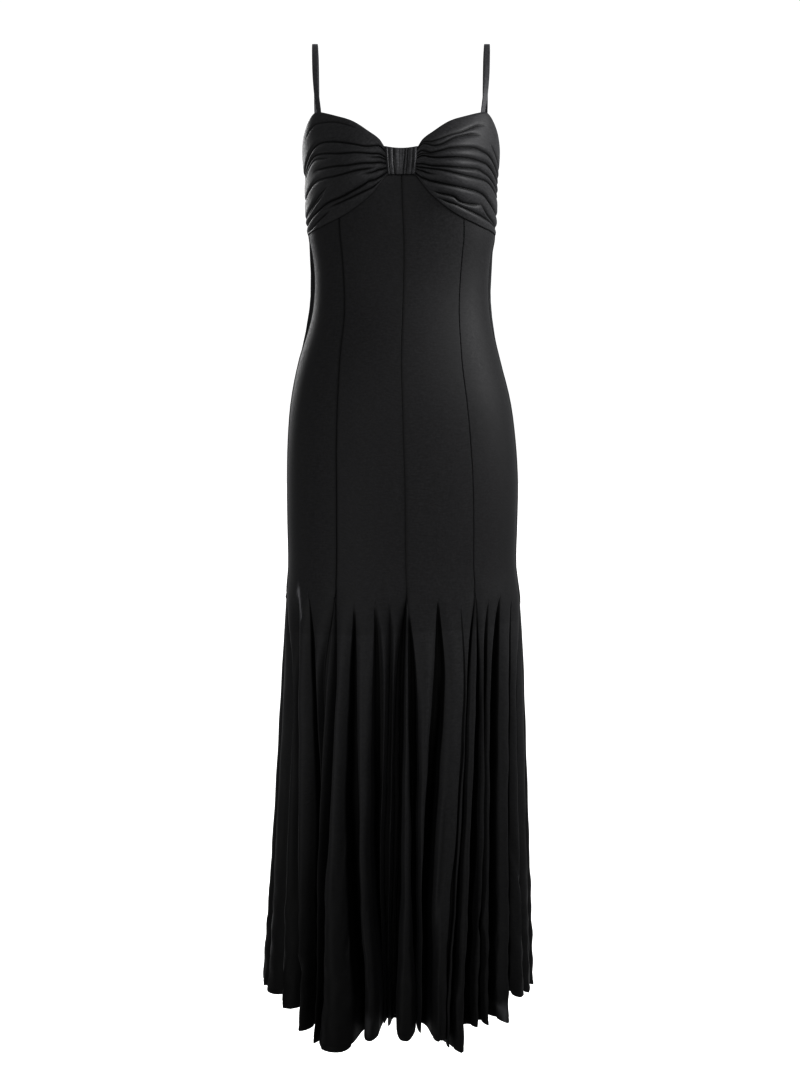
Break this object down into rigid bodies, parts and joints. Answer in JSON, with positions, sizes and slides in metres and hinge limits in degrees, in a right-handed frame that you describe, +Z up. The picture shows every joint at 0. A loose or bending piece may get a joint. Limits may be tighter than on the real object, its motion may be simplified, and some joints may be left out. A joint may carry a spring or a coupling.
{
  "type": "maxi dress",
  "caption": "Black stretch jersey maxi dress with ruched cups, a gathered centre loop, narrow shoulder straps and a folded skirt with godets.",
  "frame": {"origin": "midway between the tops of the two shoulder straps, at the height of their undersides, where the wearer's shoulders hold the dress", "axes": "+Z up along the dress, -Y is the front, -X is the left seen from the front"},
  "size_m": [0.398, 0.3635, 1.4016],
  "materials": {
    "jersey": "soft low sheen",
    "strap": "smooth, low sheen",
    "slip": "smooth, low sheen"
  },
  "bodies": {
    "root": {"cup_left": "jersey", "cup_right": "jersey", "center_loop": "jersey", "gore_front_left": "jersey", "gore_front_right": "jersey", "gore_side_front_left": "jersey", "gore_side_front_right": "jersey", "gore_side_back_left": "jersey", "gore_side_back_right": "jersey", "gore_back_left": "jersey", "gore_back_right": "jersey", "godet_front": "jersey", "godet_front_left": "jersey", "godet_front_right": "jersey", "godet_side_left": "jersey", "godet_side_right": "jersey", "godet_back_left": "jersey", "godet_back_right": "jersey", "godet_back": "jersey", "strap_left": "strap", "strap_right": "strap", "lining_front": "slip", "lining_back": "slip"}
  },
  "joints": []
}
